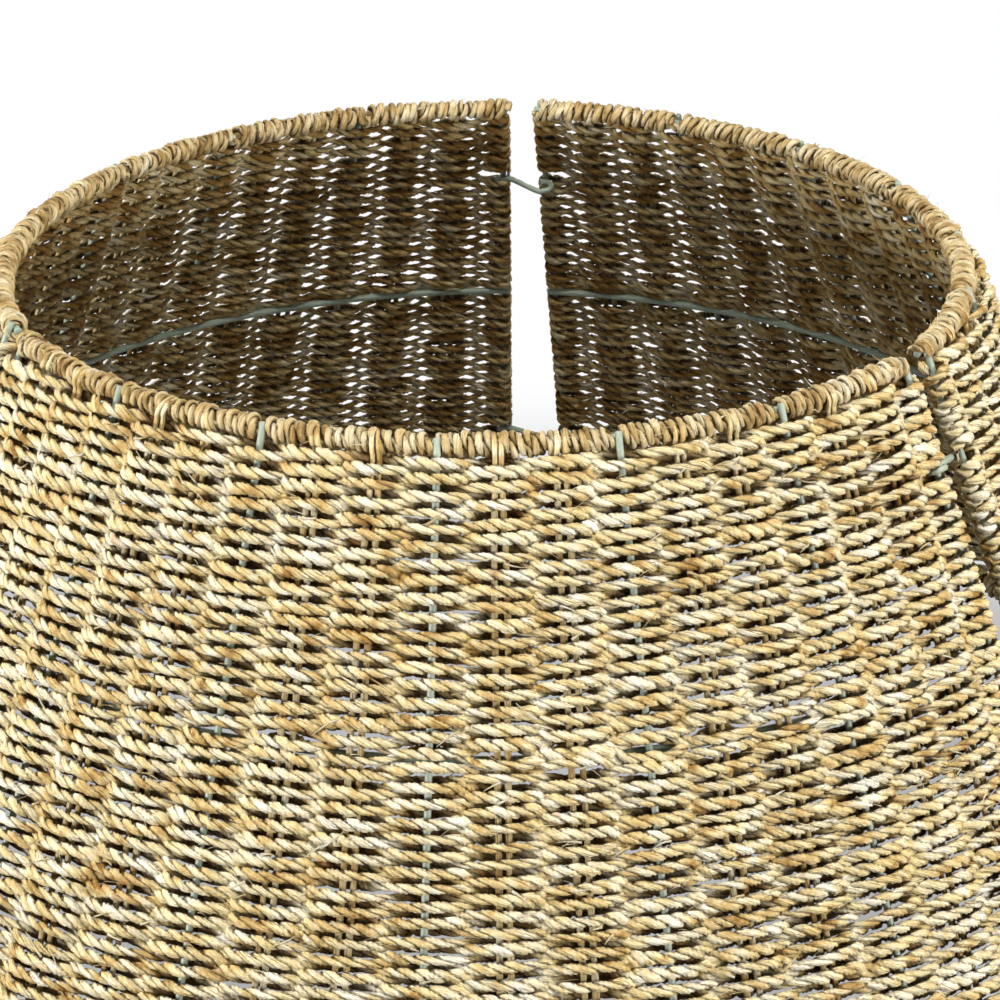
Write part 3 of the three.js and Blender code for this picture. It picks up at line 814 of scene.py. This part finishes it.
def wound_strand(z, turns, rng):
    """Skins, marks, fibre roll and number of turns of a strand round a hoop. Its angle about the
    hoop falls evenly along the hoop, and is at the inner side where a stake crosses. Turns are
    drawn off the stakes, lean a little, and wander in spacing and fullness; the one at each end
    goes out over the edge stake. The sides that touch the next turn get painted shade. Nothing
    goes below the floor."""
    radius = hoop_radius(z)
    gaps = STAKES - 1
    inner_turns = turns * gaps
    total = inner_turns + 2 * END_TURNS
    turn = np.linspace(-END_TURNS, inner_turns + END_TURNS, total * TURN_RINGS + 1)
    place = turn + END_TURNS
    gap = np.clip(np.floor(turn / turns), 0, gaps - 1)
    share = np.clip(turn / turns - gap, 0, 1)
    beyond = np.minimum(turn, 0) + np.maximum(turn - inner_turns, 0)
    along = radius * 2 * HALF_ANGLE / gaps * (gap + share)
    along = along + STAKE_SKIP * np.cos(math.pi * share) ** STAKE_SKIP_NARROWING
    along = along + BINDING_OVERRUN * beyond / END_TURNS + stray(place, PLACE_STRAY, rng)
    swing = math.pi - 2 * math.pi * turn + stray(place, SWING_STRAY, rng)
    along = along - (TURN_LEAN + stray(place, LEAN_STRAY, rng)) * np.sin(swing)
    angle = along / radius - HALF_ANGLE
    reach = WIND_RADIUS + stray(place, FULLNESS_STRAY, rng)
    reach = reach + PROUD_TURN * np.clip(wander(place, PROUD_SPACING, rng) - PROUD_FROM, 0, 1)
    at_edge = np.clip(np.abs(beyond) / EDGE_STAKE_TURNS, 0, 1)
    reach = reach + EDGE_STAKE_ROOM * at_edge * np.clip(np.cos(swing), 0, 1)
    path = level_point(radius + reach * np.cos(swing), angle, z + reach * np.sin(swing))
    lead = level_point(np.cos(swing), angle, np.sin(swing))
    high = np.ones_like(turn)
    deep = np.full_like(turn, BINDING_DEPTH_SHARE)
    skins, marks, rolls = two_ply(path, lead, BINDING_SIZES, BINDING_LAY, high, deep, rng)
    hoop_way = sheet_axes(angle)[1][:, None]
    beside = np.abs(np.sum((skins - path[:, None]) * hoop_way, -1))
    # Painted shade where the turns touch each other.
    turn_contact_shade = (beside - BESIDE_FROM) / BESIDE_OVER
    marks["groove"] = np.clip(np.maximum(marks["groove"], turn_contact_shade), 0, 1)
    skins[..., 2] = np.maximum(skins[..., 2], FLOOR_CLEARANCE)
    return skins, marks, rolls, total


CORE_RADIUS = 2.8
CORE_GAP = 2.7
CORE_RINGS = 24
CORE_SIDES = 8
# Painted shade on the core under the binding: its tone lowered and a dark brown mixed in.
CORE_SHADE = -0.8
CORE_PAINTED_SHADE = 0.8


def hoop_core(z):
    """Warp ends laid along a hoop under its binding: a tube round the hoop in each gap between
    stakes, which stops short of them, all darkened with painted shade."""
    gaps = STAKES - 1
    radius = hoop_radius(z)
    first = HALF_ANGLE * (2 * np.arange(gaps) / gaps - 1)
    clear = CORE_GAP / radius
    share = np.linspace(0, 1, CORE_RINGS)
    angle = first[:, None] + clear + (2 * HALF_ANGLE / gaps - 2 * clear) * share
    even = np.ones_like(angle)
    section = round_section(CORE_RADIUS * even, CORE_SIDES)
    skins = sweep(level_point(radius, angle, z), level_point(1.0, angle, 0.0), section)
    return skins, {"shade": CORE_SHADE * even, "stain": 0 * even, "groove": CORE_PAINTED_SHADE * even}


BINDING_STRAW = ((0.24, "#86683A"), (0.38, "#BC9F68"), (0.50, "#D6BF8C"), (0.64, "#E8D8B0"),
                 (0.80, "#F5EACD"))
BINDING_LINES = 0.8
binding_strand = seagrass("dried_seagrass_binding", BINDING_STRAW, BINDING_LINES)
for panel, turn in PANEL_TURNS.items():
    rng = np.random.default_rng(PANEL_SEEDS[panel] + 200)
    for edge, (z, turns) in BINDINGS.items():
        skins, marks, rolls, total = wound_strand(z, turns, rng)
        strand = strand_mesh(f"{panel}_{edge}_strand", skins, turn, marks, rolls, total // 2)
        skins, marks = hoop_core(z)
        core = strand_mesh(f"{panel}_{edge}_core", skins, turn, marks)
        for piece in (strand, core):
            fix_to_panel(piece, panel, binding_strand, f"{panel}_{edge}_wrap")

# Loose fibres: short torn ends of seagrass blades that stand out of the cord and the rim binding.
# Left from the twisting and the hand work, they are thin, slightly curled and a shade paler.
FIBRES = 820
RIM_FIBRES = 60
FIBRE_SIDES = 3
FIBRE_RINGS = 5
FIBRE_LOW = 16.0
FIBRE_HIGH = 284.0
FIBRE_WIDTH_SHARE = 0.98
OUTER_SHARE = 0.8
WEAVE_FACE = 6.2
BINDING_FACE = 5.4
BINDING_SWING = (-0.4, 2.6)
FIBRE_LENGTH = (4, 13)
RIM_FIBRE_LENGTH = (3, 8)
FIBRE_SLANT = 0.6
FIBRE_LIFT = (0.05, 0.4)
FIBRE_CURL = 0.35
BROAD_SHARE = 0.34
BROAD_RADIUS = (0.55, 1.0)
FINE_RADIUS = (0.14, 0.4)
FIBRE_TAPER = 0.75
FIBRE_FLATNESS = 0.5
FIBRE_SHADE = (-0.6, 1.4)


def loose_fibres(rng):
    """Skins and marks of tapered three-sided hairs. Each starts on the face of the sheet or of the
    rim binding, runs along it and lifts off with the square of the way along."""
    count = FIBRES + RIM_FIBRES
    rim = np.arange(count) >= FIBRES
    angle = rng.uniform(-FIBRE_WIDTH_SHARE, FIBRE_WIDTH_SHARE, count) * HALF_ANGLE
    height = rng.uniform(FIBRE_LOW, FIBRE_HIGH, count)
    face = np.where(rng.uniform(0, 1, count) < OUTER_SHARE, 1, -1)[:, None]
    out, right, up = sheet_axes(angle)
    start = level_point(stake_radius(height), angle, height) + WEAVE_FACE * face * out
    swing = rng.uniform(*BINDING_SWING, count)
    about = level_point(np.cos(swing), angle, np.sin(swing))
    hoop = level_point(hoop_radius(RIM_Z), angle, RIM_Z)
    start = np.where(rim[:, None], hoop + BINDING_FACE * about, start)
    lift = np.where(rim[:, None], about, face * out)
    heading = rng.uniform(-FIBRE_SLANT, FIBRE_SLANT, count) + math.pi * rng.integers(0, 2, count)
    flow = np.cos(heading)[:, None] * right + np.sin(heading)[:, None] * up
    rim_length = rng.uniform(*RIM_FIBRE_LENGTH, count)
    length = np.where(rim, rim_length, rng.uniform(*FIBRE_LENGTH, count))
    way = np.linspace(0, 1, FIBRE_RINGS)[:, None]
    rise = rng.uniform(*FIBRE_LIFT, count)[:, None, None]
    curl = rng.uniform(-FIBRE_CURL, FIBRE_CURL, count)[:, None, None]
    lifted = rise * way ** 2 * lift[:, None] + curl * way ** 2 * up[:, None]
    path = start[:, None] + length[:, None, None] * (way * flow[:, None] + lifted)
    broad = rng.uniform(0, 1, count) < BROAD_SHARE
    radius = np.where(broad, rng.uniform(*BROAD_RADIUS, count), rng.uniform(*FINE_RADIUS, count))
    radii = radius[:, None] * (1 - FIBRE_TAPER * way[:, 0])
    section = round_section(radii, FIBRE_SIDES) * np.array([FIBRE_FLATNESS, 1.0])
    skins = sweep(path, np.broadcast_to(lift[:, None], path.shape), section)
    shades = np.repeat(rng.uniform(*FIBRE_SHADE, count)[:, None], FIBRE_RINGS, 1)
    return skins, {"shade": shades, "stain": np.zeros_like(shades)}


for panel, turn in PANEL_TURNS.items():
    rng = np.random.default_rng(PANEL_SEEDS[panel] + 300)
    skins, marks = loose_fibres(rng)
    piece = strand_mesh(f"{panel}_loose_fibres", skins, turn, marks)
    fix_to_panel(piece, panel, weave_cord)

# Studio: a plain floor, white to the eye away from the collar and painted darker near it, where it
# also keeps its real shadow; wide low lamps on each side of the front and behind, a square one high
# above the front, and an even pale sky.
# Sizes from here on are in metres.
FLOOR_HALF = 7.0
# Less of the white shows near the collar: painted shade round and under it, over the real shadow.
SHADED_RADIUS = 0.26
WHITE_RADIUS = 0.56
SHADED_WHITENESS = 0.42
SKY_STRENGTH = 0.06


def seen_ray(tree, share):
    """A share for rays from the camera or by way of gloss and glass, and nothing for light's own
    rays."""
    ray = add_node(tree, "ShaderNodeLightPath")
    mirrored = add_node(tree, "ShaderNodeMath", {"operation": "MAXIMUM"}, {
        0: ray.outputs["Is Camera Ray"], 1: ray.outputs["Is Glossy Ray"]})
    seen = add_node(tree, "ShaderNodeMath", {"operation": "MAXIMUM"}, {
        0: mirrored.outputs["Value"], 1: ray.outputs["Is Transmission Ray"]})
    part = add_node(tree, "ShaderNodeMath", {"operation": "MULTIPLY"}, {
        0: seen.outputs["Value"], 1: share})
    return part.outputs["Value"]


floor_mesh = bpy.data.meshes.new("floor")
floor_mesh.from_pydata([(-FLOOR_HALF, -FLOOR_HALF, 0), (FLOOR_HALF, -FLOOR_HALF, 0),
                        (FLOOR_HALF, FLOOR_HALF, 0), (-FLOOR_HALF, FLOOR_HALF, 0)],
                       [], [(0, 1, 2, 3)])
floor = bpy.data.objects.new("floor", floor_mesh)
bpy.context.scene.collection.objects.link(floor)
floor_paint, tree, shader = new_material("matt_pale_floor")
shader.inputs["Base Color"].default_value = colour("#5F656B")
shader.inputs["Roughness"].default_value = 0.9
floor_mesh.materials.append(floor_paint)
place = add_node(tree, "ShaderNodeTexCoord").outputs["Object"]
from_axis = add_node(tree, "ShaderNodeVectorMath", {"operation": "LENGTH"}, {0: place})
open_floor = add_node(tree, "ShaderNodeMapRange", {"interpolation_type": "SMOOTHSTEP"}, {
    "Value": from_axis.outputs["Value"], "From Min": SHADED_RADIUS, "From Max": WHITE_RADIUS,
    "To Min": SHADED_WHITENESS})
white_part = seen_ray(tree, open_floor.outputs["Result"])
white = add_node(tree, "ShaderNodeEmission", {}, {"Color": colour("#FFFFFF"), "Strength": 1.0})
both = add_node(tree, "ShaderNodeMixShader", {}, {
    0: white_part, 1: shader.outputs["BSDF"], 2: white.outputs["Emission"]})
tree.links.new(both.outputs["Shader"], tree.nodes["Material Output"].inputs["Surface"])

world = bpy.data.worlds.new("studio")
bpy.context.scene.world = world
world.use_nodes = True
tree = world.node_tree
tree.nodes.clear()
glow = add_node(tree, "ShaderNodeBackground", {}, {
    "Color": colour("#FAF8F4"), "Strength": SKY_STRENGTH})
white = add_node(tree, "ShaderNodeBackground", {}, {"Color": colour("#FFFFFF"), "Strength": 1.0})
both = add_node(tree, "ShaderNodeMixShader", {}, {
    0: seen_ray(tree, 1.0), 1: glow.outputs["Background"], 2: white.outputs["Background"]})
add_node(tree, "ShaderNodeOutputWorld", {}, {"Surface": both.outputs["Shader"]})

# Each lamp has a place, a width, a height and a power in watts, and faces the collar's middle.
LAMPS = {"left": ((-2.6, -1.45, 0.45), 1.4, 0.4, 104.0),
         "right": ((2.6, -1.45, 0.45), 1.4, 0.4, 80.0),
         "back": ((0.0, 3.0, 0.25), 2.4, 0.3, 76.0),
         "top": ((0.15, -0.7, 2.45), 0.9, 0.9, 60.0)}
COLLAR_MIDDLE = np.array([0, 0, 0.15])
for name, (spot, width, height, power) in LAMPS.items():
    lamp = bpy.data.lights.new(name, "AREA")
    lamp.shape = "RECTANGLE"
    lamp.size = width
    lamp.size_y = height
    lamp.energy = power
    lamp_object = bpy.data.objects.new(name, lamp)
    bpy.context.scene.collection.objects.link(lamp_object)
    aim = unit(COLLAR_MIDDLE - np.array(spot))
    lamp_object.location = spot
    lamp_object.rotation_euler = (math.acos(-aim[2]), 0, math.atan2(aim[1], aim[0]) - math.pi / 2)

# Camera: at the photograph's place, above the rim and a little to the right of the front panel's
# middle, with a long lens. Its angles are in radians, and its focal length is in pixels.
CAMERA_BEARING = 0.08856
CAMERA_REACH = 1.82869
CAMERA_Z = 0.96869
CAMERA_PITCH = 0.41801
CAMERA_HEADING = 0.00416 - CAMERA_BEARING
CAMERA_ROLL = -0.00611
FOCAL_PIXELS = 3735.2
PICTURE_PIXELS = 1000
SENSOR = 36.0
lens = bpy.data.cameras.new("camera")
lens.sensor_width = SENSOR
lens.lens = FOCAL_PIXELS / PICTURE_PIXELS * SENSOR
lens.clip_end = 50
camera = bpy.data.objects.new("camera", lens)
bpy.context.scene.collection.objects.link(camera)
camera.location = (CAMERA_REACH * math.sin(CAMERA_BEARING),
                   COLLAR_AXIS_Y * MM - CAMERA_REACH * math.cos(CAMERA_BEARING), CAMERA_Z)
camera.rotation_mode = "QUATERNION"
heading = Quaternion((0, 0, 1), -CAMERA_HEADING)
pitch = Quaternion((1, 0, 0), math.pi / 2 - CAMERA_PITCH)
roll = Quaternion((0, 0, 1), CAMERA_ROLL)
camera.rotation_quaternion = heading @ pitch @ roll
bpy.context.scene.camera = camera
bpy.context.scene.view_settings.view_transform = "Standard"
